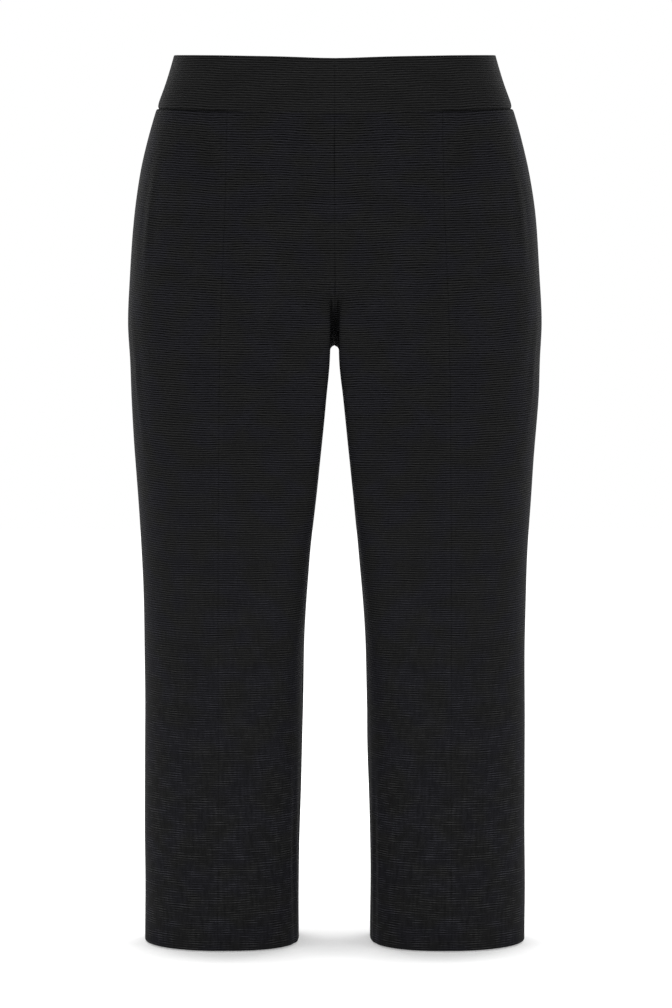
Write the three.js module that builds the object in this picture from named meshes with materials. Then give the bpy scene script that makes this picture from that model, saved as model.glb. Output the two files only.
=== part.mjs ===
import * as THREE from 'three';

// Pull-on ankle-length trousers with a wide waistband, filled out as if worn.
// Millimetres. +X is the wearer's left, -Y the front, +Z up. The origin is the middle of the
// waist opening, level with the top edge at the sides.

const BAND = 56;          // waistband, top edge to its seam
const WAIST_SLOPE = .175; // seen from the side, the top edge slopes down to the front by this
const FRONT_SAG = 3.7;    // and at the front it hangs this much below that slope,
const FRONT_POINT = 1.5;  // with a slight point of this depth at the centre seam,
const BACK_SAG = 11;      // and this much below it at the back
const CROTCH = -308;      // height of the crotch point
const CROTCH_Y = 8;       // its depth: just behind the side line
const HEM = -939;         // height of both hems
const CLOTH = 1.3;        // wall of a leg panel
const BAND_WALL = 2.2;    // wall of the waistband, cloth folded double
const SEAM_GAP = 0.3;     // air left between neighbouring pieces
const FRONT_CURVE = 70;   // the front centre seam turns under over this height,
const BACK_CURVE = 100;   // the back one over this height
const FRONT_BEND = 3.2;   // how sharply the front one turns: 2 is an ellipse
const BACK_BEND = 2;      // and the back one
const ARCH = 5;           // radius of the arch above the space between the thighs
const SIDE_Y = 4;         // depth of the side seam
const INSEAM_SHIFT = 17;  // the inseam lies this far forward on the lower leg

// One row per level section of one half. side: half width; gap: half the space between the legs;
// front, back: depths; flat: how far out the front and back run flat; seam: front leg seam;
// inFront, inBack, outer: squareness of the thigh side and of the hip side (2 is an ellipse).
const sections = [
  { z: 30, side: 162.8, gap: 4.6, front: 110, back: 114, flat: 2, seam: 106, inFront: 4, inBack: 4, outer: 2.2 },
  { z: 0, side: 170.3, gap: 4.6, front: 113, back: 120, flat: 8, seam: 107, inFront: 4, inBack: 4, outer: 2.2 },
  { z: -30, side: 178.9, gap: 4.6, front: 116, back: 127, flat: 18, seam: 108, inFront: 4, inBack: 4, outer: 2.25 },
  { z: -60, side: 189.3, gap: 4.6, front: 119, back: 134, flat: 30, seam: 109, inFront: 4.5, inBack: 4, outer: 2.3 },
  { z: -95, side: 199.1, gap: 4.6, front: 121, back: 141, flat: 45, seam: 109.5, inFront: 5, inBack: 4, outer: 2.3 },
  { z: -130, side: 206.8, gap: 4.6, front: 123, back: 147, flat: 60, seam: 110, inFront: 6, inBack: 4, outer: 2.3 },
  { z: -175, side: 213, gap: 4.6, front: 124, back: 152, flat: 78, seam: 111, inFront: 12, inBack: 4, outer: 2.3 },
  { z: -240, side: 217.3, gap: 4.6, front: 122, back: 151, flat: 98, seam: 113.5, inFront: 34, inBack: 4, outer: 2.3 },
  { z: -285, side: 219.2, gap: 4.5, front: 118, back: 144, flat: 107, seam: 115.5, inFront: 40, inBack: 4, outer: 2.3 },
  { z: -325, side: 217.2, gap: 5.1, front: 114, back: 133, flat: 110, seam: 116.5, inFront: 40, inBack: 4, outer: 2.3 },
  { z: -366, side: 215.7, gap: 9.3, front: 110, back: 123, flat: 111, seam: 117.5, inFront: 24, inBack: 3.6, outer: 2.3 },
  { z: -450, side: 209.8, gap: 17.6, front: 101, back: 109, flat: 113, seam: 118.5, inFront: 13, inBack: 2.8, outer: 2.3 },
  { z: -536, side: 204.2, gap: 26.5, front: 91, back: 98, flat: 115.5, seam: 119.5, inFront: 7, inBack: 2.5, outer: 2.3 },
  { z: -620, side: 201.9, gap: 32.5, front: 83, back: 90, flat: 117, seam: 120, inFront: 4.5, inBack: 2.4, outer: 2.3 },
  { z: -730, side: 201.8, gap: 34.6, front: 76, back: 88, flat: 118, seam: 120, inFront: 3, inBack: 2.4, outer: 2.25 },
  { z: -850, side: 201.8, gap: 37.9, front: 72, back: 83, flat: 118, seam: 120.5, inFront: 2.6, inBack: 2.5, outer: 2.15 },
  { z: -945, side: 201.6, gap: 37.9, front: 70, back: 79, flat: 118, seam: 121.5, inFront: 2.5, inBack: 2.7, outer: 2.05 },
];

// The largest soft troughs, centred at x (signed), z on the front or back. tilt: degrees from level;
// long, wide: half lengths along and across; deep: depth in mm.
const folds = [
  { face: 'front', x: 127, z: -117, tilt: 70, long: 44, wide: 9, deep: 1.5 },
  { face: 'front', x: -127, z: -119, tilt: -70, long: 44, wide: 9, deep: 1.8 },
  { face: 'back', x: 92, z: -345, tilt: -9, long: 78, wide: 15, deep: 3.4 },
  { face: 'back', x: -95, z: -349, tilt: 11, long: 72, wide: 13, deep: 3 },
  { face: 'back', x: 112, z: -610, tilt: 7, long: 62, wide: 17, deep: 2.6 },
  { face: 'back', x: -116, z: -598, tilt: -9, long: 66, wide: 15, deep: 3 },
];

const rows = {
  band: [0, -20, -40, -BAND],
  leg: [-BAND, -95, -135, -180, -223, -250, -271, -284, -293.5, -300, -304.5, -306.8, -307.7, CROTCH,
    -308.8, -310.5, -314, -322, -340, -376, -415, -470, -530, -585, -625, -700, -800, HEM],
};

// Columns of each panel, counted from the centre line. plain: its width above the crotch curve, where
// the columns crowd towards the centre line by a power; corner: how far from the outer seam the
// cloth turns in between the thighs, and at: the column that lies there.
const layout = {
  frontCentre: { count: 12, plain: 113, crowd: 1.35, corner: 105, at: 7, spread: 1.87 },
  frontSide: { count: 7 },
  back: { count: 17, plain: 306, crowd: 1.4, corner: 275, at: 7.5, spread: 1.4 },
};

const columnNames = Object.keys(sections[0]).filter((name) => name !== 'z');

// Every size in the table at any height, on a smooth curve through the rows.
function sizesAt(z) {
  const last = sections.length - 1;
  let i = 0;
  while (i < last - 1 && z < sections[i + 1].z) i += 1;
  const [a, b] = [sections[i], sections[i + 1]];
  const [before, after] = [sections[Math.max(i - 1, 0)], sections[Math.min(i + 2, last)]];
  const step = b.z - a.z;
  const t = THREE.MathUtils.clamp((z - a.z) / step, 0, 1);
  const out = {};
  for (const name of columnNames) {
    const slopeA = (b[name] - before[name]) / (b.z - before.z) * step;
    const slopeB = (after[name] - a[name]) / (after.z - a.z) * step;
    const rise = b[name] - a[name];
    out[name] = a[name] + t * slopeA + t * t * (3 * rise - 2 * slopeA - slopeB)
      + t * t * t * (slopeA + slopeB - 2 * rise);
  }
  return out;
}

// Quarter of a squared ellipse: how far along each axis it is at a share of the way round.
function quarter(share, square) {
  const angle = share * Math.PI / 2;
  return [Math.sin(angle) ** (2 / square), Math.cos(angle) ** (2 / square)];
}

// The inner side of one thigh, from the centre seam or inseam out to where the front (or back)
// runs flat. Above the crotch it starts on the centre seam, which is a squared ellipse in the
// side view; near that curve the cloth arches over to meet the other half.
function innerSide(z, size, depth, curve, bend, square) {
  const reach = depth + CROTCH_Y * (curve === FRONT_CURVE ? 1 : -1);
  const sign = curve === FRONT_CURVE ? -1 : 1;
  const drop = (CROTCH + curve - z) / curve;
  if (drop <= 0) return [[0, CROTCH_Y + sign * reach], [size.flat, CROTCH_Y + sign * reach]];
  const first = z > CROTCH ? (1 - Math.min(drop, 1) ** bend) ** (1 / bend) : 0;
  const turn = Math.max(first, 0.8);
  const outs = [];
  for (let i = 0; i < 40; i += 1) outs.push(first + (turn - first) * (i / 40) ** 1.6);
  for (let i = 0; i <= 40; i += 1) {
    const share = THREE.MathUtils.lerp(Math.asin(turn ** (square / 2)) / (Math.PI / 2), 1, i / 40);
    outs.push(quarter(share, square)[0]);
  }
  const points = outs.map((out, i) => {
    const e = (out ** bend + drop ** bend) ** (1 / bend);
    const clear = (e - 1) * e ** (bend - 1)
      / Math.hypot(out ** (bend - 1) / reach, drop ** (bend - 1) / curve);
    const near = THREE.MathUtils.clamp(clear / ARCH, 0, 1);
    const wall = size.flat - (size.flat - size.gap) * Math.max(1 - out ** square, 0) ** (1 / square);
    const x = i === 0 && z > CROTCH ? 0 : wall * Math.sqrt(1 - (1 - near) ** 2);
    return [x, CROTCH_Y + sign * reach * out];
  });
  points.push([size.flat, CROTCH_Y + sign * reach]);
  return points;
}

// The outer side of one half, from the flat of the front (or back) round to the side seam.
function outerSide(size, depth, sign) {
  const points = [];
  for (let i = 1; i <= 60; i += 1) {
    const [out, left] = quarter(i / 60, size.outer);
    points.push([size.flat + (size.side - size.flat) * out,
      SIDE_Y + sign * (depth - sign * SIDE_Y) * left]);
  }
  return points;
}

const ringCache = new Map();

// One half section as points with running lengths, and the lengths at which its seams lie.
// Above the crotch it runs from centre front to centre back, below it all round from the inseam.
function ringAt(z) {
  const key = z.toFixed(4);
  if (ringCache.has(key)) return ringCache.get(key);
  const size = sizesAt(z);
  const front = [...innerSide(z, size, size.front, FRONT_CURVE, FRONT_BEND, size.inFront),
    ...outerSide(size, size.front, -1)];
  const back = [...innerSide(z, size, size.back, BACK_CURVE, BACK_BEND, size.inBack),
    ...outerSide(size, size.back, 1)];
  const points = [...front, ...back.reverse().slice(1)];
  const lengths = [0];
  for (let i = 1; i < points.length; i += 1) {
    lengths.push(lengths[i - 1] + Math.hypot(points[i][0] - points[i - 1][0], points[i][1] - points[i - 1][1]));
  }
  const total = lengths[lengths.length - 1];
  const seamIndex = points.findIndex(([x]) => x >= size.seam);
  const [before, after] = [points[seamIndex - 1][0], points[seamIndex][0]];
  const part = (size.seam - before) / (after - before);
  const shift = INSEAM_SHIFT * THREE.MathUtils.smoothstep(CROTCH - z, 0, 260);
  const ring = {
    points, lengths, total, closed: z <= CROTCH, start: shift, end: total + shift,
    seam: lengths[seamIndex - 1] + part * (lengths[seamIndex] - lengths[seamIndex - 1]),
    side: lengths[front.length - 1],
  };
  ringCache.set(key, ring);
  return ring;
}

// The point at a length along a ring. Past an end it goes on round a leg, or into the other half.
function along(ring, length) {
  const { points, lengths, total } = ring;
  let at = length;
  let mirror = 1;
  if (ring.closed) at = ((at % total) + total) % total;
  else if (at < 0) [at, mirror] = [-at, -1];
  else if (at > total) [at, mirror] = [2 * total - at, -1];
  let [low, high] = [0, points.length - 1];
  while (high - low > 1) {
    const middle = (low + high) >> 1;
    if (lengths[middle] <= at) low = middle; else high = middle;
  }
  const t = (at - lengths[low]) / Math.max(lengths[high] - lengths[low], 1e-9);
  return [mirror * (points[low][0] + t * (points[high][0] - points[low][0])),
    points[low][1] + t * (points[high][1] - points[low][1])];
}

// How far the top edge and the rows near it lie from level, fading out above the crotch curve.
function edgeShift(x, y, row) {
  const fade = 1 - THREE.MathUtils.smoothstep(-BAND - row, 0, 150);
  const sag = y < 0 ? FRONT_SAG * (y / 118) ** 2 + FRONT_POINT * Math.exp(-((x / 40) ** 2))
    : BACK_SAG * (y / 132) ** 2;
  return fade * (WAIST_SLOPE * y - sag);
}

// Where a column of a panel lies on a ring. In the crotch curve the columns wait beside the centre
// line until there is cloth enough for them to stand at their own distance from the outer seam.
function columnLength(panel, i, ring, z) {
  const { count, plain, crowd, corner, at, spread } = layout[panel];
  if (panel === 'frontSide') return ring.seam + (ring.side - ring.seam) * i / count;
  const isBack = panel === 'back';
  const spanOf = (r) => (isBack ? r.end - r.side : r.seam - r.start);
  const span = spanOf(ring);
  const k = isBack ? count - i : i;
  const waiting = span - Math.min(plain, span) * (k / count) ** crowd;
  const shrink = ring.closed ? span / spanOf(ringAt(CROTCH)) : 1;
  const free = corner * shrink * (1 - Math.sign(k - at) * (Math.abs(k - at) / (count - at)) ** spread);
  const even = THREE.MathUtils.smoothstep(CROTCH - z, 20, 260);
  const fromSeam = THREE.MathUtils.lerp(k === 0 ? span : Math.min(free, waiting), span * (1 - k / count), even);
  return isBack ? ring.side + fromSeam : ring.seam - fromSeam;
}

// Point of the outer face of one half, in a column of a panel and on a table row. trim moves it
// along the cloth, away from the seam.
function facePoint(panel, i, row, trim = 0) {
  const place = (z) => {
    const ring = ringAt(z);
    return [...along(ring, columnLength(panel, i, ring, z) + trim), z];
  };
  const [x, y] = place(row);
  return place(row + edgeShift(x, y, row));
}

function faceNormal(panel, i, row, trim) {
  const h = 0.4;
  const up = row > CROTCH ? h : Math.min(h, CROTCH - row);
  const down = row > CROTCH ? Math.min(h, row - CROTCH) : h;
  const point = (rise, sideways) => new THREE.Vector3(...facePoint(panel, i, row + rise, trim + sideways));
  const across = point(0, h).sub(point(0, -h));
  return across.cross(point(up, 0).sub(point(-down, 0))).normalize();
}

// How far the largest folds push a point of one half inwards.
function foldDepth(half, x, y, z) {
  let depth = 0;
  for (const fold of folds) {
    if ((fold.face === 'front') !== (y < 0) || Math.sign(fold.x) !== half) continue;
    const tilt = fold.tilt * Math.PI / 180;
    const [dx, dz] = [half * x - fold.x, z - fold.z];
    const lengthwise = (dx * Math.cos(tilt) + dz * Math.sin(tilt)) / fold.long;
    const crosswise = (dz * Math.cos(tilt) - dx * Math.sin(tilt)) / fold.wide;
    depth += fold.deep * Math.exp(-(lengthwise ** 2) * 1.4 - crosswise ** 2);
  }
  return depth;
}

// The columns of a piece. The front of the waistband uses those of both front panels.
function columnsOf(piece) {
  if (piece === 'bandFront') return [...columnsOf('frontCentre'), ...columnsOf('frontSide').slice(1)];
  return Array.from({ length: layout[piece].count + 1 }, (_, i) => ({ panel: piece, column: i }));
}

// Outer and inner faces of a piece as grids of points, trimmed by half the seam gap all round.
function faces(half, piece, rowList, wall) {
  const trim = SEAM_GAP / 2;
  const [outer, inner] = [[], []];
  const places = columnsOf(piece);
  const last = places.length - 1;
  rowList.forEach((tableRow, r) => {
    const edge = r === 0 || r === rowList.length - 1;
    let row = tableRow;
    if (tableRow === -BAND) row += r === 0 ? -trim : trim;
    const [outerRow, innerRow] = [[], []];
    places.forEach(({ panel, column }, i) => {
      const onCentre = row >= CROTCH && ((i === 0 && panel === 'frontCentre') || (i === last && panel === 'back'));
      const sideways = (row > CROTCH && onCentre) ? 0 : (i === 0) * trim - (i === last) * trim;
      const point = new THREE.Vector3(...facePoint(panel, column, row, sideways));
      const normal = faceNormal(panel, column, row, sideways);
      if (onCentre || row === CROTCH) point.setX(Math.max(point.x, trim));
      if (onCentre) {
        if (row === CROTCH) normal.set(0, 0, -1); else normal.setX(0);
      }
      if (edge) normal.setZ(0);
      normal.normalize();
      point.addScaledVector(normal, -foldDepth(half, point.x, point.y, point.z));
      const back = point.clone().addScaledVector(normal, -wall);
      outerRow.push([half * point.x, point.y, point.z]);
      innerRow.push([half * back.x, back.y, back.z]);
    });
    outer.push(half > 0 ? outerRow : outerRow.reverse());
    inner.push(half > 0 ? innerRow : innerRow.reverse());
  });
  return { outer, inner };
}

const group = new THREE.Group();
group.name = 'trousers';

// A closed wall between an outer and an inner grid, faces outwards.
function addPiece(name, { outer, inner }, colour) {
  const rowCount = outer.length;
  const width = outer[0].length;
  const positions = [...outer.flat(), ...inner.flat()].flat();
  const at = (layer, r, c) => layer * rowCount * width + r * width + c;
  const index = [];
  const apart = (a, b) => Math.hypot(...[0, 1, 2].map((k) => positions[3 * a + k] - positions[3 * b + k]));
  const quad = (a, b, c, d) => {
    if (apart(a, c) <= apart(b, d)) index.push(a, b, c, a, c, d); else index.push(a, b, d, b, c, d);
  };
  for (let r = 0; r < rowCount - 1; r += 1) {
    for (let c = 0; c < width - 1; c += 1) {
      quad(at(0, r, c), at(0, r + 1, c), at(0, r + 1, c + 1), at(0, r, c + 1));
      quad(at(1, r, c), at(1, r, c + 1), at(1, r + 1, c + 1), at(1, r + 1, c));
    }
    quad(at(0, r, 0), at(1, r, 0), at(1, r + 1, 0), at(0, r + 1, 0));
    quad(at(0, r, width - 1), at(0, r + 1, width - 1), at(1, r + 1, width - 1), at(1, r, width - 1));
  }
  for (let c = 0; c < width - 1; c += 1) {
    quad(at(0, 0, c), at(0, 0, c + 1), at(1, 0, c + 1), at(1, 0, c));
    quad(at(0, rowCount - 1, c), at(1, rowCount - 1, c), at(1, rowCount - 1, c + 1), at(0, rowCount - 1, c + 1));
  }
  const geometry = new THREE.BufferGeometry();
  geometry.setAttribute('position', new THREE.Float32BufferAttribute(positions, 3));
  geometry.setIndex(index);
  geometry.computeVertexNormals();
  const material = new THREE.MeshStandardMaterial({ color: colour, roughness: 0.9, metalness: 0 });
  const mesh = new THREE.Mesh(geometry, material);
  mesh.name = name;
  group.add(mesh);
}

const legColour = '#202022';
const bandColour = '#1e1e20';
for (const [half, side] of [[1, 'left'], [-1, 'right']]) {
  addPiece(`waistband_front_${side}`, faces(half, 'bandFront', rows.band, BAND_WALL), bandColour);
  addPiece(`front_centre_${side}`, faces(half, 'frontCentre', rows.leg, CLOTH), legColour);
  addPiece(`front_side_${side}`, faces(half, 'frontSide', rows.leg, CLOTH), legColour);
  addPiece(`back_${side}`, faces(half, 'back', rows.leg, CLOTH), legColour);
}

// The back of the waistband is one piece, so its two halves share the centre back column.
function joinHalves(left, right) {
  const join = (a, b) => a.map((row, i) => [...row.slice(0, -1), [0, row.at(-1)[1], row.at(-1)[2]], ...b[i].slice(1)]);
  return { outer: join(left.outer, right.outer), inner: join(left.inner, right.inner) };
}
addPiece('waistband_back', joinHalves(faces(1, 'back', rows.band, BAND_WALL),
  faces(-1, 'back', rows.band, BAND_WALL)), bandColour);

export default group;
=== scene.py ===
"""Looks of the pull-on trousers: nine thin cloth shells on the form of the CAD panels.

The form's sizes are those of the CAD, in millimetres, and become metres when a mesh is made. Every
shell has an outer and an inner face, rolled edges at its seams, turned-in allowances, soft
folds, and a ribbed cloth material.
"""

import math

import bpy
import numpy as np
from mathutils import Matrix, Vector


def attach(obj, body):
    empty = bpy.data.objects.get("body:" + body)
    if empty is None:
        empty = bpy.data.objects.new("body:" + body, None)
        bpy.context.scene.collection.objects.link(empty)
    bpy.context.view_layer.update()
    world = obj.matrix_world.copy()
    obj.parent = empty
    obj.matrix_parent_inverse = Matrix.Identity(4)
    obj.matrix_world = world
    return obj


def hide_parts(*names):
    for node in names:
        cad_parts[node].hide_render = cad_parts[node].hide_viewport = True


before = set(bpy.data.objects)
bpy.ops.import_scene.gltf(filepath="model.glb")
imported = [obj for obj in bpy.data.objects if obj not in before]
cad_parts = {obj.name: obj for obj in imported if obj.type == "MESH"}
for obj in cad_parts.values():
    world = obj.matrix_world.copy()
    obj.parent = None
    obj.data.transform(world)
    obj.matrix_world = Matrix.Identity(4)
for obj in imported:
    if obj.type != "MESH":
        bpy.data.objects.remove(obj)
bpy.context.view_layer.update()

# ---------------------------------------------------------------------------------- sizes, in mm

BAND = 56           # waistband, top edge to its seam
WAIST_SLOPE = 0.175 # the top edge climbs towards the back
FRONT_SAG = 3.7     # and sags at the centre front
FRONT_POINT = 1.5   # to a slight point
POINT_WIDTH = 40    # of this half width
BACK_SAG = 11       # and at the centre back
SAG_DEPTHS = (118, 132)   # each sag is full at this depth, in front and behind
WAIST_FADE = 150    # slope, sags and point fade out over this height below the waistband
CROTCH = -308       # height of the crotch point
CROTCH_Y = 8        # its depth
HEM = -939          # height of both hems
FRONT_CURVE = 70    # the front centre seam turns under over this height
BACK_CURVE = 100    # the back centre seam turns under over this height
FRONT_BEND = 3.2    # how sharply each turns: 2 is an ellipse
BACK_BEND = 2
ARCH = 5            # radius of the arch above the space between the thighs
FRONT_ARCH = 2      # and up the front, where the thighs meet in a narrow groove
CREASE = 3          # the groove is this much deeper along its two sides,
CREASE_TOP = (254, 276)   # from nothing to the full depth between these depths below the origin,
CREASE_FOOT = (278, 296)  # and back to nothing between these
SIDE_Y = 4          # depth of the side seam
INSEAM_SHIFT = 17   # the inseam lies this far forward on the lower leg
INSEAM_RUN = 260    # and moves there over this height below the crotch

CLOTH = 1.3         # one layer
BAND_WALL = 2.2     # the waistband, folded double over its elastic
ALLOWANCE = 9       # width of the seam allowances pressed open inside
TURNED = 1.1        # what they add inside
HEM_DEPTH = 25      # the hem is turned up this far
EDGE = 0.3          # a seam edge turns in this deep
BAND_EDGE = 1.25    # and the edges at the waistband seam this deep
SIDE_ZONE = (85, 118)     # the waistband seam pulls in more from the first x to the second
STITCH_DIP = (0.2, 2.8)   # the dip along an upright seam: its depth and half width
BAND_DIP = (1.1, 1.6)     # and the one along the waistband seam
BAND_LEAN = 0.5     # at the sides the cloth next to that seam leans in by this
FOLDED = 0.5        # what the allowances add inside the waistband

RIB_PITCH = 2.4     # from one rib of the cloth to the next
PAINTED_SEAM_SHADE = 0.7     # how much painted shade darkens the waistband seam's groove
PAINTED_RIDGE_HIGHLIGHT = 0.12   # painted highlight on the pressed ridges beside the upright seams, as a share of that

SIZES = ("side", "gap", "front", "back", "flat", "seam", "in_front", "in_back", "outer")
SECTIONS = (  # height, then the sizes named above, for one half
    (30, 162.8, 4.6, 110, 114, 2, 106, 4, 4, 2.2),
    (0, 170.3, 4.6, 113, 120, 8, 107, 4, 4, 2.2),
    (-30, 178.9, 4.6, 116, 127, 18, 108, 4, 4, 2.25),
    (-60, 189.3, 4.6, 119, 134, 30, 109, 4.5, 4, 2.3),
    (-95, 199.1, 4.6, 121, 141, 45, 109.5, 5, 4, 2.3),
    (-130, 206.8, 4.6, 123, 147, 60, 110, 6, 4, 2.3),
    (-175, 213, 4.6, 124, 152, 78, 111, 12, 4, 2.3),
    (-240, 217.3, 4.6, 122, 151, 98, 113.5, 34, 4, 2.3),
    (-285, 219.2, 4.5, 118, 144, 107, 115.5, 40, 4, 2.3),
    (-325, 217.2, 5.1, 114, 133, 110, 116.5, 40, 4, 2.3),
    (-366, 215.7, 9.3, 110, 123, 111, 117.5, 24, 3.6, 2.3),
    (-450, 209.8, 17.6, 101, 109, 113, 118.5, 13, 2.8, 2.3),
    (-536, 204.2, 26.5, 91, 98, 115.5, 119.5, 7, 2.5, 2.3),
    (-620, 201.9, 32.5, 83, 90, 117, 120, 4.5, 2.4, 2.3),
    (-730, 201.8, 34.6, 76, 88, 118, 120, 3, 2.4, 2.25),
    (-850, 201.8, 37.9, 72, 83, 118, 120.5, 2.6, 2.5, 2.15),
    (-945, 201.6, 37.9, 70, 79, 118, 121.5, 2.5, 2.7, 2.05),
)

# Soft troughs (and, with a negative depth, ridges): face, x and height of the
# middle, tilt from level in degrees, half length, half width, depth, ridge beside it as a share of
# the depth, bend, and how much deeper its +x end (or top end) is than the other.
FOLDS = (
    # front: drag lines at the hips
    ("front", -127, -119, -70, 44, 7.5, 1.7, 0.30, 0.25, 0.0),
    ("front", 127, -117, 70, 44, 7.5, 1.4, 0.30, -0.20, 0.5),
    # front: short ones under the waistband
    ("front", -34, -103, -50, 34, 7, 0.9, 0.25, 0.2, 0.1),
    ("front", 44, -93, 43, 18, 6, 0.5, 0.25, -0.2, 0.0),
    # front: from the crotch outwards
    ("front", -54, -276, 25, 56, 8, 0.9, 0.25, 0.3, 0.3),
    ("front", 38, -272, -13, 34, 7, 0.8, 0.25, -0.3, -0.3),
    # front: inner thighs
    ("front", -34, -463, -85, 56, 8, 1.0, 0.25, 0.1, 0.0),
    ("front", 34, -469, 85, 34, 8, 0.9, 0.25, 0.0, 0.0),
    # front: along the inside of the lower legs
    ("front", -43.2, -850, 89.5, 110, 4.5, 1.1, 0.9, 0.0, 0.0),
    ("front", 43.0, -850, -89.5, 105, 4.5, 1.0, 0.9, 0.0, 0.1),
    # back: under the waistband
    ("back", -58, -104, -58, 36, 8, 1.2, 0.3, 0.2, 0.0),
    ("back", 66, -98, 62, 30, 8, 1.0, 0.3, -0.2, 0.2),
    # back: under the seat
    ("back", 92, -345, -9, 78, 15, 3.4, 0.25, 0.2, -0.2),
    ("back", -95, -349, 11, 72, 13, 3.0, 0.25, -0.2, 0.2),
    ("back", 58, -383, -24, 46, 11, 1.8, 0.25, 0.3, -0.3),
    ("back", -66, -391, 20, 52, 10, 1.6, 0.25, -0.3, 0.3),
    ("back", 52, -300, 28, 44, 11, 1.5, 0.25, 0.2, -0.4),
    ("back", -48, -296, -31, 40, 11, 1.6, 0.25, -0.2, 0.4),
    # back: behind the knees
    ("back", 112, -610, 7, 62, 17, 2.6, 0.25, 0.2, 0.0),
    ("back", -116, -598, -9, 66, 15, 3.0, 0.25, -0.2, 0.0),
    ("back", 128, -652, -13, 44, 12, 1.5, 0.25, 0.3, 0.2),
    ("back", -98, -646, 12, 40, 12, 1.4, 0.25, -0.3, -0.2),
    ("back", 92, -566, 16, 38, 11, 1.1, 0.25, 0.2, -0.2),
    ("back", -132, -558, -18, 40, 11, 1.2, 0.25, -0.2, 0.1),
    # sides: long soft ones
    ("front", 193, -188, 88, 54, 5.5, -1.5, 0.3, 0.2, 0.2),
    ("front", -192, -186, -88, 58, 5.5, -1.7, 0.3, -0.2, -0.1),
    ("front", 206, -338, 86, 62, 4.5, -1.2, 0.3, 0.2, 0.0),
    ("front", -205, -345, -86, 66, 4.5, -1.4, 0.3, -0.1, 0.2),
    ("back", 200, -196, -78, 52, 12, 1.1, 0.2, 0.1, 0.0),
    ("back", -202, -188, 80, 58, 12, 1.0, 0.2, -0.1, 0.0),
)

# The slight waviness of the cloth: height, radians per mm across and along, and where it starts.
WAVES = (
    (0.16, 0.031, 0.012, 0.4),
    (0.13, -0.019, 0.034, 1.9),
    (0.10, 0.052, -0.021, 3.1),
    (0.09, 0.011, 0.061, 0.7),
    (0.07, -0.067, 0.047, 5.2),
)

# ---------------------------------------------------------------------------------- the form


def sizes_at(z):
    """Every size in the table at one height, on a smooth curve through the rows."""
    table = np.array(SECTIONS, float)
    heights, values = table[:, 0], table[:, 1:]
    i = int(np.clip(np.searchsorted(-heights, -z, side="right") - 1, 0, len(table) - 2))
    before, after = max(i - 1, 0), min(i + 2, len(table) - 1)
    step = heights[i + 1] - heights[i]
    t = np.clip((z - heights[i]) / step, 0, 1)
    slope_a = (values[i + 1] - values[before]) / (heights[i + 1] - heights[before]) * step
    slope_b = (values[after] - values[i]) / (heights[after] - heights[i]) * step
    rise = values[i + 1] - values[i]
    found = (values[i] + t * slope_a + t * t * (3 * rise - 2 * slope_a - slope_b)
             + t**3 * (slope_a + slope_b - 2 * rise))
    return dict(zip(SIZES, found))


def smooth(x, low, high):
    t = np.clip((x - low) / (high - low), 0, 1)
    return t * t * (3 - 2 * t)


def inner_side(z, size, depth, curve, bend, square, sign):
    """The inner side of one thigh, from the centre seam or inseam out to the flat of the face."""
    reach = depth - sign * CROTCH_Y
    drop = (CROTCH + curve - z) / curve
    if drop <= 0:
        return np.array([[0, CROTCH_Y + sign * reach], [size["flat"], CROTCH_Y + sign * reach]])
    first = (1 - min(drop, 1) ** bend) ** (1 / bend) if z > CROTCH else 0.0
    turn = max(first, 0.8)
    start = math.asin(turn ** (square / 2)) / (math.pi / 2)
    share = start + (1 - start) * np.linspace(0, 1, 121)
    outs = np.concatenate([first + (turn - first) * (np.arange(120) / 120) ** 1.6,
                           np.sin(share * math.pi / 2) ** (2 / square)])
    e = (outs**bend + drop**bend) ** (1 / bend)
    clear = (e - 1) * e ** (bend - 1) / np.hypot(outs ** (bend - 1) / reach, drop ** (bend - 1) / curve)
    narrow = smooth(outs, 0.3, 0.9) if sign < 0 else 0
    near = np.clip(clear / (ARCH + (FRONT_ARCH - ARCH) * narrow), 0, 1)
    wall = size["flat"] - (size["flat"] - size["gap"]) * np.maximum(1 - outs**square, 0) ** (1 / square)
    x = wall * np.sqrt(1 - (1 - near) ** 2)
    y = CROTCH_Y + sign * reach * outs
    if z > CROTCH:
        x[0] = 0
        if sign < 0:
            deeper = CREASE * smooth(-z, *CREASE_TOP) * (1 - smooth(-z, *CREASE_FOOT))
            wall_left = np.clip((1 - outs) / (1 - outs[0]), 0, 1)
            y = y + deeper * smooth(x, 1.6, 4.3) * smooth(wall_left, 0, 0.9)
    points = np.stack([x, y], 1)
    return np.vstack([points, [[size["flat"], CROTCH_Y + sign * reach]]])


def outer_side(size, depth, sign):
    """The outer side of one half, from the flat of the face round to the side seam."""
    angle = np.arange(1, 161) / 160 * math.pi / 2
    out, left = np.sin(angle) ** (2 / size["outer"]), np.cos(angle) ** (2 / size["outer"])
    return np.stack([size["flat"] + (size["side"] - size["flat"]) * out,
                     SIDE_Y + sign * (depth - sign * SIDE_Y) * left], 1)


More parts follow.
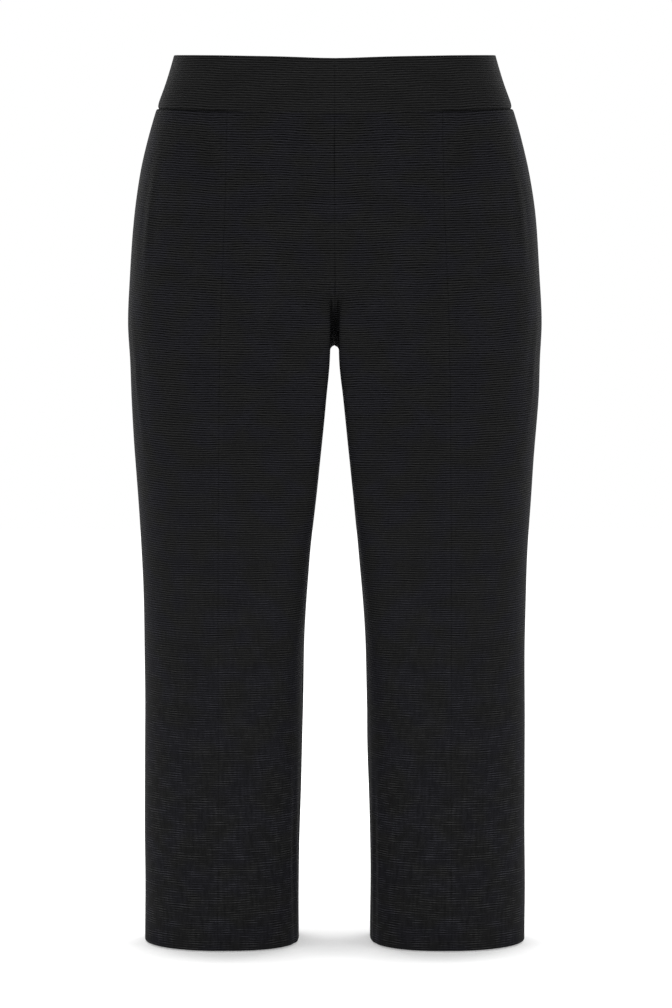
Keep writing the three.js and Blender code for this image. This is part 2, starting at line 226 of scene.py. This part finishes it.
class Ring:
    """One level section of one half, as a line with running lengths and its seams on it."""

    def __init__(self, z):
        size = sizes_at(z)
        front = np.vstack([
            inner_side(z, size, size["front"], FRONT_CURVE, FRONT_BEND, size["in_front"], -1),
            outer_side(size, size["front"], -1)])
        back = np.vstack([
            inner_side(z, size, size["back"], BACK_CURVE, BACK_BEND, size["in_back"], 1),
            outer_side(size, size["back"], 1)])
        self.points = np.vstack([front, back[::-1][1:]])
        steps = np.hypot(*np.diff(self.points, axis=0).T)
        self.lengths = np.concatenate([[0], np.cumsum(steps)])
        self.total = self.lengths[-1]
        self.z, self.closed = z, z <= CROTCH
        self.start = INSEAM_SHIFT * smooth(CROTCH - z, 0, INSEAM_RUN)
        self.end = self.total + self.start
        self.side = self.lengths[len(front) - 1]
        self.front_x = front[:, 0]
        self.front_lengths = self.lengths[:len(front)]
        self.back_x = back[:, 0]
        self.back_lengths = self.total - np.concatenate(
            [[0], np.cumsum(np.hypot(*np.diff(back, axis=0).T))])
        self.seam = np.interp(size["seam"], self.front_x, self.front_lengths)

    def along(self, length):
        at = np.mod(length, self.total) if self.closed else length
        return (np.interp(at, self.lengths, self.points[:, 0]),
                np.interp(at, self.lengths, self.points[:, 1]))


# Distances from a piece's edge at which there is a row or column, for its rolled edge, the
# stitched dip beside it and the step of the allowance inside.
NEAR = np.array([0, 0.12, 0.35, 0.75, 1.4, 2.4, 4.4, 6.6, 8.4, 9.1])
GROOVE = np.array([3.1, 3.8, 5.1, 5.8, 7.5, 10.3, 11.5])     # more columns beside the centre seam

CLEAR = 13      # how far from an edge the other columns start

# Those other columns. inside: how many. plain: the panel's width above the crotch curve, where they
# crowd towards the centre line by the power crowd. corner: how far from the outer seam the cloth
# turns in between the thighs. at: where that corner comes among them, from 0 at the centre line
# to 1 at the outer seam. spread: the power by which they spread out from it.
LAYOUT = {
    "front_centre": {"inside": 26, "plain": 113, "crowd": 1.35,
                     "corner": 105, "at": 0.583, "spread": 1.4},
    "front_side": {"inside": 24},
    "back": {"inside": 84, "plain": 306, "crowd": 1.4, "corner": 275, "at": 0.441, "spread": 1.3},
}


def panel_columns(panel, ring, crotch):
    """Running lengths of a panel's columns on a ring, from its front edge to its back edge."""
    layout = LAYOUT[panel]
    if panel == "front_side":
        low, high = ring.seam, ring.side
        inside = np.linspace(low + CLEAR, high - CLEAR, layout["inside"])
    else:
        is_back = panel == "back"
        low, high = (ring.side, ring.end) if is_back else (ring.start, ring.seam)
        span = high - low
        at, spread = layout["at"], layout["spread"]
        first = (CLEAR / layout["plain"]) ** (1 / layout["crowd"])
        last = 1 - (CLEAR if is_back else CLEAR - 2) / layout["plain"]
        k = np.linspace(first, last, layout["inside"])
        waiting = span - np.minimum(layout["plain"], span) * k ** layout["crowd"]
        whole = crotch.end - crotch.side if is_back else crotch.seam - crotch.start
        shrink = span / whole if ring.closed else 1
        side = np.sign(k - at) * (np.abs(k - at) / (1 - at)) ** spread
        free = layout["corner"] * shrink * (1 - side)
        even = smooth(CROTCH - ring.z, 20, INSEAM_RUN)
        plain = (k - first) / (last - first)
        level = span - CLEAR - (span - 2 * CLEAR) * plain
        from_seam = (1 - even) * np.minimum(free, waiting) + even * level
        from_seam = np.clip(from_seam, CLEAR - 0.5, None)
        inside = low + from_seam[::-1] if is_back else high - from_seam
    first_edge = np.union1d(NEAR, GROOVE) if panel == "front_centre" else NEAR
    return np.concatenate([low + first_edge, inside, high - NEAR[::-1]])


PANELS = ("front_centre", "front_side", "back")


def waist_shift(x, y):
    """How far the top edge lies above or below level."""
    front_sag = (FRONT_SAG * (y / SAG_DEPTHS[0]) ** 2
                 + FRONT_POINT * np.exp(-(x / POINT_WIDTH) ** 2))
    back_sag = BACK_SAG * (y / SAG_DEPTHS[1]) ** 2
    return WAIST_SLOPE * y - np.where(y < 0, front_sag, back_sag)


def edge_shift(x, y, row):
    """The top edge's slope and sag, fading out below the waistband."""
    return (1 - smooth(-BAND - row, 0, WAIST_FADE)) * waist_shift(x, y)


def row_list():
    """Table rows of the waistband and of the legs, from the top down."""
    rim = np.array([0, 0.06, 0.2, 0.45, 0.8, 1.3, 2.1, 3.2])
    band = np.concatenate([-rim, -np.arange(6, 48, 3.0), -BAND + NEAR[::-1]])
    hem = np.array([0, 0.06, 0.22, 0.5, 0.9, 1.5, 2.4, 3.8])
    turn = HEM + HEM_DEPTH
    curve = CROTCH + FRONT_CURVE * (1 - np.sin(np.radians(np.arange(2, 90, 2))))
    leg = np.concatenate([
        -BAND - NEAR, -np.arange(71, 223, 3.0), curve, [CROTCH],
        CROTCH - np.array([0.3, 0.6, 1, 1.5, 2.2, 3, 4, 5.5, 7, 9.5, 12.5]),
        np.arange(CROTCH - 15.7, turn + 4, -3.2), [turn + 2, turn + 0.8, turn + 0.1, turn - 0.8],
        np.arange(turn - 3.5, HEM + 5.5, -3.0), HEM + hem[::-1]])
    return band, leg


band_rows, leg_rows = row_list()
rows = np.concatenate([band_rows, leg_rows])
DENSE_TOP, DENSE_LOW = 22, -222
levels = np.concatenate([np.arange(DENSE_TOP, DENSE_LOW - 1, -1.0), rows[rows < DENSE_LOW]])
crotch_ring = Ring(CROTCH)

# For each level and column: x, y, running length, and the lengths of the four seams.
stack = []
for level in levels:
    ring = Ring(level)
    lengths = np.concatenate([panel_columns(panel, ring, crotch_ring) for panel in PANELS])
    x, y = ring.along(lengths)
    seams = [np.full_like(x, at) for at in (ring.start, ring.seam, ring.side, ring.end)]
    stack.append([x, y, lengths, *seams])
stack = np.array(stack)


def at_heights(z):
    """The stack at one height for each row and column (z: rows x columns)."""
    column = np.arange(z.shape[1])[None, :]
    place = np.where(z >= DENSE_LOW, DENSE_TOP - z, 0)
    low = np.clip(np.floor(place).astype(int), 0, DENSE_TOP - DENSE_LOW - 1)
    part = (place - low)[..., None]
    mixed = stack[low, :, column] * (1 - part) + stack[low + 1, :, column] * part
    exact = z < DENSE_LOW
    if exact.any():
        index = DENSE_TOP - DENSE_LOW + 1 + np.cumsum(exact[:, 0]) - 1
        for r in np.nonzero(exact[:, 0])[0]:
            mixed[r] = stack[index[r]].T
    return np.moveaxis(mixed, -1, 0)


width = stack.shape[2]
row_grid = np.repeat(rows[:, None], width, 1)
x0, y0 = at_heights(row_grid)[:2]
z_grid = row_grid + edge_shift(x0, y0, row_grid)
x_grid, y_grid, s_grid, start_grid, seam_grid, side_grid, end_grid = at_heights(z_grid)
base = np.stack([x_grid, y_grid, z_grid], -1)


def normals_of(points):
    """Outward normals of one half's grid, mirrored at the centre and wrapped round the leg."""
    open_row = rows > CROTCH
    flip = np.array([-1, 1, 1])
    crotch_row = int(np.argmin(np.abs(rows - CROTCH)))

    def facets(grid):
        a, b, c, d = grid[:-1, :-1], grid[1:, :-1], grid[1:, 1:], grid[:-1, 1:]
        return np.cross(b - d, c - a)

    def total(grid):
        f = facets(grid)
        padded = np.zeros((grid.shape[0] + 1, grid.shape[1] + 1, 3))
        padded[1:-1, 1:-1] = f
        return padded[:-1, :-1] + padded[1:, :-1] + padded[:-1, 1:] + padded[1:, 1:]

    mirrored = np.concatenate([points[:, 1::-1] * flip, points, points[:, :-3:-1] * flip], 1)
    wrapped = np.concatenate([points[:, -2:], points, points[:, :2]], 1)
    above = total(mirrored)[:, 2:-2]
    below = total(wrapped)[:, 2:-2]
    below[:, [0, -1]] = below[:, :1] + below[:, -1:]
    found = np.where(open_row[:, None, None], above, below)
    for seam in seam_columns:
        found[:, [seam - 1, seam]] = found[:, seam - 1:seam] + found[:, seam:seam + 1]
    last_band = len(band_rows) - 1
    found[[last_band, last_band + 1]] = found[last_band] + found[last_band + 1]
    for column in (0, -1):
        found[open_row, column, 0] = 0
        found[crotch_row, column] = (0, 0, -1)
    return found / np.maximum(np.linalg.norm(found, axis=-1, keepdims=True), 1e-12)


counts = [len(panel_columns(panel, crotch_ring, crotch_ring)) for panel in PANELS]
seam_columns = np.cumsum(counts)[:-1]
base_normals = normals_of(base)

# ---------------------------------------------------------------------------------- folds


def fold_depth(half):
    """How far the folds and the slight waviness of the cloth push one half inwards."""
    around = s_grid - side_grid
    depth = np.zeros_like(around)
    for face, x, z, tilt, long, wide, deep, ridge, bend, lean in FOLDS:
        ring = Ring(z)
        if face == "front":
            middle = np.interp(abs(x), ring.front_x, ring.front_lengths) - ring.side
            outwards = 1
            across_centre = 2 * -side_grid - around
        else:
            middle = np.interp(abs(x), ring.back_x, ring.back_lengths) - ring.side
            outwards = -1
            across_centre = 2 * (end_grid - side_grid) - around
        own = np.sign(x) == half
        if not own and (z < CROTCH or abs(x) > 90):
            continue
        place = around if own else np.where(rows[:, None] > CROTCH, across_centre, 1e6)
        dx = np.sign(x) * outwards * (place - middle)
        dz = z_grid - z
        angle = math.radians(tilt)
        lengthwise = (dx * math.cos(angle) + dz * math.sin(angle)) / long
        crosswise = (dz * math.cos(angle) - dx * math.sin(angle)) / wide - bend * lengthwise**2
        ends = np.exp(-1.4 * lengthwise**2) * (1 + lean * np.clip(lengthwise, -1, 1))
        ridges = np.exp(-(crosswise - 1.9) ** 2) + np.exp(-(crosswise + 1.9) ** 2)
        depth += deep * ends * (np.exp(-crosswise**2) - ridge * ridges)
    calm = smooth(-BAND - row_grid, -20, 40)
    for height, across, along, turn in WAVES:
        depth += height * calm * np.sin(across * around + along * z_grid + turn + 1.7 * half)
    return depth


# ---------------------------------------------------------------------------------- pieces

starts = np.concatenate([[0], np.cumsum(counts)])
columns = {panel: np.arange(starts[i], starts[i + 1]) for i, panel in enumerate(PANELS)}
columns["band_front"] = np.concatenate([columns["front_centre"], columns["front_side"][1:]])
is_band = np.arange(len(rows)) < len(band_rows)


def roll(distance, radius):
    """How far an edge of that radius turns in at a distance from it."""
    t = np.clip(1 - distance / radius, 0, 1)
    return radius * (1 - np.sqrt(1 - t * t))


def piece_grids(half, panel, band):
    """Outer and inner grids of one piece of one half, and its cloth coordinates."""
    pick = np.ix_(is_band if band else ~is_band, columns[panel])
    point, normal = base[pick], base_normals[pick]
    row, z = row_grid[pick], z_grid[pick]
    around = s_grid[pick]
    first, last = around[:, :1], around[:, -1:]
    from_first, from_last = around - first, last - around
    across_join = band and panel == "back"     # the waistband's back has no centre seam
    side_edge = from_first if across_join else np.minimum(from_first, from_last)
    sides = smooth(np.abs(x_grid[pick]), *SIDE_ZONE)
    if band:
        top, low = -row, row + BAND
        seam_edge = low
        wall = BAND_WALL + 0 * row
        end_edge, end_radius = top, BAND_WALL / 2
    else:
        top, low = -BAND - row, row - HEM
        seam_edge = top
        wall = CLOTH + 0 * row
        turned = 1 - smooth(low, HEM_DEPTH - 0.6, HEM_DEPTH + 0.6)
        wall = wall + turned * CLOTH
        end_edge, end_radius = low, CLOTH
    pressed = 1 - smooth(np.minimum(side_edge, seam_edge), ALLOWANCE - 0.5, ALLOWANCE + 0.1)
    wall = wall + pressed * (FOLDED if band else TURNED)

    pulled = 0.2 + 0.8 * sides                 # the waistband seam pulls in most at the sides
    free = smooth(seam_edge, 0, 3)
    turn = np.maximum.reduce([roll(side_edge, EDGE), pulled * roll(seam_edge, BAND_EDGE),
                              roll(end_edge, end_radius)])
    dips = (STITCH_DIP[0] * free * np.exp(-(side_edge / STITCH_DIP[1]) ** 2)
            + BAND_DIP[0] * pulled * np.exp(-(seam_edge / BAND_DIP[1]) ** 2))
    dips = dips + BAND_LEAN * sides * (1 - smooth(seam_edge, 0, 8 if band else 1.6))
    outer = turn + dips
    rise = np.minimum.reduce([
        1 - roll(side_edge, EDGE) / EDGE, 1 - roll(seam_edge, BAND_EDGE) / BAND_EDGE,
        1 - roll(end_edge, end_radius) / end_radius])
    middle = np.where(end_edge < end_radius, end_radius, EDGE)
    inner = np.maximum(middle + (wall - middle) * rise + dips, outer + 0.02)

    depth = fold_depth(half)[pick]
    if band:
        depth = depth * smooth(-row, 20, BAND)
    outside = point - normal * (outer + depth)[..., None]
    inside = point - normal * (inner + depth)[..., None]
    fade = 1 - smooth(-z, 60, 940)
    rib = -row if band else -(z - waist_shift(point[..., 0], point[..., 1]) * fade)
    # Painted shade along the waistband seam's groove; painted highlight on the pressed ridges beside the
    # upright seams.
    painted_seam_shade = pulled * np.exp(-(seam_edge / 0.9) ** 2)
    # Painted highlight on the pressed ridges beside the upright seams.
    beside = np.exp(-((side_edge - 2.7) / 1.2) ** 2)
    grids = {"outside": outside, "inside": inside, "u": around - side_grid[pick], "v": rib,
             "seam": painted_seam_shade - PAINTED_RIDGE_HIGHLIGHT * beside}
    if half < 0:
        flip = np.array([-1, 1, 1])
        grids["outside"], grids["inside"] = outside * flip, inside * flip
        grids = {key: value[:, ::-1] for key, value in grids.items()}
    return grids


def add_shell(name, grids, node, material):
    """A closed shell between the two grids, which share their border."""
    outside, inside = grids["outside"], grids["inside"]
    n_rows, n_columns = outside.shape[:2]
    outer_id = np.arange(n_rows * n_columns).reshape(n_rows, n_columns)
    inner_id = outer_id.copy()
    inner_id[1:-1, 1:-1] = n_rows * n_columns + np.arange((n_rows - 2) * (n_columns - 2)).reshape(
        n_rows - 2, n_columns - 2)
    inner = inside[1:-1, 1:-1]
    points = np.concatenate([outside.reshape(-1, 3), inner.reshape(-1, 3)]) / 1000

    def triangles(ids, outward):
        a, b, c, d = ids[:-1, :-1], ids[1:, :-1], ids[1:, 1:], ids[:-1, 1:]
        short = (np.linalg.norm(points[a] - points[c], axis=-1)
                 <= np.linalg.norm(points[b] - points[d], axis=-1))
        # A corner's diagonal runs inwards, or the two faces would share a whole triangle there.
        short[[0, -1], [0, -1]] = True
        short[[0, -1], [-1, 0]] = False
        a, b, c, d = (q.ravel() for q in (a, b, c, d))
        short = short.ravel()[:, None]
        one = np.where(short, np.stack([a, b, c], 1), np.stack([a, b, d], 1))
        two = np.where(short, np.stack([a, c, d], 1), np.stack([b, c, d], 1))
        both = np.concatenate([one, two])
        return both if outward else both[:, ::-1]

    faces = np.concatenate([triangles(outer_id, True), triangles(inner_id, False)])
    mesh = bpy.data.meshes.new(name)
    mesh.vertices.add(len(points))
    mesh.vertices.foreach_set("co", points.astype(np.float32).ravel())
    mesh.loops.add(faces.size)
    mesh.loops.foreach_set("vertex_index", faces.astype(np.int32).ravel())
    mesh.polygons.add(len(faces))
    mesh.polygons.foreach_set("loop_start", np.arange(0, faces.size, 3, dtype=np.int32))
    mesh.update(calc_edges=True)
    mesh.polygons.foreach_set("use_smooth", np.ones(len(faces), bool))

    flat = {key: np.concatenate([grids[key].ravel(), grids[key][1:-1, 1:-1].ravel()])
            for key in ("u", "v", "seam")}
    # The cloth's own coordinates, across and down in mm, and the painted shade (positive) and painted
    # highlight (negative) at its seams.
    cloth = mesh.attributes.new("cloth", "FLOAT_VECTOR", "POINT")
    vectors = np.stack([flat["u"], flat["v"], flat["seam"]], 1).astype(np.float32)
    cloth.data.foreach_set("vector", vectors.ravel())
    mesh.materials.append(material)
    mesh.validate()
    piece = bpy.data.objects.new(name, mesh)
    bpy.context.scene.collection.objects.link(piece)
    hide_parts(node)
    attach(piece, "root")
    return piece


# ---------------------------------------------------------------------------------- materials


def link(tree, a, b):
    tree.links.new(a, b)


def cloth_material(name, base_colour, cool, strong, weak):
    """Dark, matt, finely cross-ribbed cloth, whose ribs fade from strong to weak down its length.

    In soft patches it is cooler, with that much more blue.
    """
    material = bpy.data.materials.new(name)
    material.use_nodes = True
    tree = material.node_tree
    nodes = tree.nodes
    shader = nodes["Principled BSDF"]
    shader.inputs["Roughness"].default_value = 0.78
    shader.inputs["Specular IOR Level"].default_value = 0.02
    shader.inputs["Sheen Weight"].default_value = 0.008
    shader.inputs["Sheen Roughness"].default_value = 0.35
    shader.inputs["Sheen Tint"].default_value = (0.9, 0.93, 1.0, 1.0)

    cloth = nodes.new("ShaderNodeAttribute")
    cloth.attribute_name = "cloth"
    split = nodes.new("ShaderNodeSeparateXYZ")
    link(tree, cloth.outputs["Vector"], split.inputs[0])
    down = split.outputs["Y"]

    def maths(operation, *values):
        node = nodes.new("ShaderNodeMath")
        node.operation = operation
        for socket, value in zip(node.inputs, values):
            if isinstance(value, (int, float)):
                socket.default_value = value
            else:
                link(tree, value, socket)
        return node.outputs[0]

    def spread(value, low, high, to_low, to_high):
        node = nodes.new("ShaderNodeMapRange")
        ends = {"From Min": low, "From Max": high, "To Min": to_low, "To Max": to_high}
        for socket, number in ends.items():
            node.inputs[socket].default_value = number
        link(tree, value, node.inputs["Value"])
        return node.outputs["Result"]

    def noise(across, along, offset, detail=1.0):
        """Noise in the cloth's own coordinates, with cells of that size in mm."""
        place = nodes.new("ShaderNodeVectorMath")
        place.operation = "MULTIPLY_ADD"
        place.inputs[1].default_value = (1 / across, 1 / along, 0)
        place.inputs[2].default_value = (offset, 0.7 * offset, 0)
        link(tree, cloth.outputs["Vector"], place.inputs[0])
        node = nodes.new("ShaderNodeTexNoise")
        node.inputs["Scale"].default_value = 1.0
        node.inputs["Detail"].default_value = detail
        link(tree, place.outputs[0], node.inputs["Vector"])
        return node.outputs["Fac"]

    wander = maths("MULTIPLY_ADD", noise(17, 7, 11.0), 0.9, down)
    wander = maths("MULTIPLY_ADD", noise(60, 40, 3.0), 4.0, wander)
    wave = maths("SINE", maths("MULTIPLY", wander, 2 * math.pi / RIB_PITCH))
    raised = maths("MULTIPLY_ADD", wave, 0.5, 0.5)
    crest = maths("MULTIPLY", maths("MULTIPLY", raised, raised), 1 / 0.375)    # its mean is 1
    patchy = spread(noise(8, 3.4, 23.0), 0.32, 0.68, 0.3, 1.0)
    broken = spread(noise(15, 6.5, 83.0), 0.44, 0.66, 0.1, 1.5)            # low on the legs
    lower = spread(down, 380, 800, 0.0, 1.0)
    patchy = maths("MULTIPLY_ADD", lower, maths("SUBTRACT", broken, patchy), patchy)
    depth = maths("MULTIPLY", patchy, spread(down, 330, 760, strong, weak))
    ground = maths("MULTIPLY_ADD", lower, -0.5, 1.0)       # low down only the crests stand out
    ribs = maths("MULTIPLY_ADD", depth, maths("SUBTRACT", crest, ground), 1.0)
    grain = spread(noise(2.4, 0.9, 41.0), 0.3, 0.7, 0.84, 1.16)
    mottle = spread(noise(42, 26, 57.0, 2.0), 0.3, 0.7, 0.92, 1.08)
    paler = maths("MULTIPLY_ADD", lower, -0.16, 1.0)
    # A tone that changes down the length: lighter towards the hems, times paler.
    tone_down_length = maths("MULTIPLY", spread(down, 430, 940, 0.97, 1.11), paler)
    # Painted shade in the waistband seam's groove and painted highlight beside the upright seams, from
    # the third cloth coordinate.
    seams = maths("MULTIPLY_ADD", split.outputs["Z"], -PAINTED_SEAM_SHADE, 1.0)
    shade = maths("MULTIPLY", maths("MULTIPLY", ribs, grain), maths("MULTIPLY", mottle, tone_down_length))
    warp = spread(noise(2.8, 18, 97.0), 0.3, 0.7, -0.2, 0.2)              # upright threads, low down
    shade = maths("MULTIPLY", maths("MULTIPLY", shade, seams), maths("MULTIPLY_ADD", lower, warp, 1.0))

    bump = nodes.new("ShaderNodeBump")
    bump.inputs["Strength"].default_value = 1.0
    bump.inputs["Distance"].default_value = 0.00012
    link(tree, maths("MULTIPLY", depth, crest), bump.inputs["Height"])
    link(tree, bump.outputs["Normal"], shader.inputs["Normal"])

    tint = nodes.new("ShaderNodeCombineXYZ")
    for socket, value in zip(tint.inputs, base_colour):
        socket.default_value = value
    blue = spread(noise(34, 30, 71.0), 0.4, 0.6, base_colour[2], base_colour[2] + cool)
    link(tree, blue, tint.inputs["Z"])
    colour = nodes.new("ShaderNodeVectorMath")
    colour.operation = "SCALE"
    link(tree, tint.outputs[0], colour.inputs[0])
    link(tree, maths("MAXIMUM", shade, 0.05), colour.inputs["Scale"])
    link(tree, colour.outputs[0], shader.inputs["Base Color"])
    return material


leg_cloth = cloth_material("leg_cloth", (0.0061, 0.0061, 0.0062), 0.0011, 0.98, 0.78)
band_cloth = cloth_material("waistband_cloth", (0.0066, 0.0066, 0.00665), 0.0001, 0.8, 0.8)

# ---------------------------------------------------------------------------------- build

for half, side in ((1, "left"), (-1, "right")):
    add_shell(
        f"waistband_front_{side}_cloth", piece_grids(half, "band_front", True),
        f"waistband_front_{side}", band_cloth)
    for panel in PANELS:
        add_shell(
            f"{panel}_{side}_cloth", piece_grids(half, panel, False), f"{panel}_{side}",
            leg_cloth)

left, right = piece_grids(1, "back", True), piece_grids(-1, "back", True)
joined = {key: np.concatenate([left[key][:, :-1], right[key][:, 1:]], 1) for key in left}
add_shell(
    "waistband_back_cloth", joined, "waistband_back", band_cloth)

# ---------------------------------------------------------------------------------- studio

FLOOR = HEM / 1000 - 0.0015     # just under the hems, in metres as the rest of the studio
HALF_FLOOR = 40.0
DISTANCE, CAMERA_HEIGHT, CAMERA_X = 2.490, -0.477, 0.0013
LENS = 83.68
LIGHT_SIZE = 1.8
FRONT_POWER, REAR_POWER = 90, 41

scene = bpy.context.scene
scene.view_settings.view_transform = "Standard"
world = bpy.data.worlds.new("studio")
world.use_nodes = True
world.node_tree.nodes["Background"].inputs["Color"].default_value = (1, 1, 1, 1)
world.node_tree.nodes["Background"].inputs["Strength"].default_value = 1.0
scene.world = world


def white_paper():
    """White, with a soft shadow close under the hems, cast a little to the front."""
    white = bpy.data.materials.new("white_floor")
    white.use_nodes = True
    tree = white.node_tree
    paper = tree.nodes["Principled BSDF"]
    paper.inputs["Roughness"].default_value = 0.9
    paper.inputs["Specular IOR Level"].default_value = 0.0
    paper.inputs["Emission Strength"].default_value = 0.36
    contact = tree.nodes.new("ShaderNodeAmbientOcclusion")
    contact.inputs["Distance"].default_value = 0.09
    lean = tree.nodes.new("ShaderNodeCombineXYZ")
    lean.inputs["Y"].default_value = 0.75
    lean.inputs["Z"].default_value = 0.66
    link(tree, lean.outputs["Vector"], contact.inputs["Normal"])
    soften = tree.nodes.new("ShaderNodeMapRange")
    soften.inputs["To Min"].default_value = 0.26
    soften.inputs["To Max"].default_value = 1.0
    link(tree, contact.outputs["AO"], soften.inputs["Value"])
    link(tree, soften.outputs["Result"], paper.inputs["Emission Color"])
    dim = tree.nodes.new("ShaderNodeVectorMath")
    dim.operation = "SCALE"
    dim.inputs[0].default_value = (0.9, 0.9, 0.9)
    link(tree, soften.outputs["Result"], dim.inputs["Scale"])
    link(tree, dim.outputs[0], paper.inputs["Base Color"])
    return white


floor_mesh = bpy.data.meshes.new("floor")
corners = ((-1, -1), (1, -1), (1, 1), (-1, 1))
floor_mesh.from_pydata([(HALF_FLOOR * x, HALF_FLOOR * y, FLOOR) for x, y in corners], [], [(0, 1, 2, 3)])
floor = bpy.data.objects.new("floor", floor_mesh)
scene.collection.objects.link(floor)
floor_mesh.materials.append(white_paper())


def soft_box(name, place, target, size, power):
    light = bpy.data.lights.new(name, "AREA")
    light.shape, light.size, light.energy = "SQUARE", size, power
    obj = bpy.data.objects.new(name, light)
    obj.location = place
    direction = Vector(target) - Vector(place)
    obj.rotation_euler = direction.to_track_quat("-Z", "Y").to_euler()
    scene.collection.objects.link(obj)


MIDDLE = (0, 0, -0.45)
soft_box("left", (-3.0, -1.8, -0.4), MIDDLE, LIGHT_SIZE, FRONT_POWER)
soft_box("right", (3.0, -1.8, -0.4), MIDDLE, LIGHT_SIZE, FRONT_POWER)
soft_box("rear_left", (-2.2, 2.6, 0.8), MIDDLE, LIGHT_SIZE, REAR_POWER)
soft_box("rear_right", (2.2, 2.6, 0.8), MIDDLE, LIGHT_SIZE, REAR_POWER)

camera_data = bpy.data.cameras.new("camera")
camera_data.sensor_width = 36
camera_data.lens = LENS
camera_data.clip_end = 100
camera = bpy.data.objects.new("camera", camera_data)
camera.location = (CAMERA_X, -DISTANCE, CAMERA_HEIGHT)
camera.rotation_euler = (math.pi / 2, 0, 0)
scene.collection.objects.link(camera)
scene.camera = camera

bpy.context.view_layer.update()
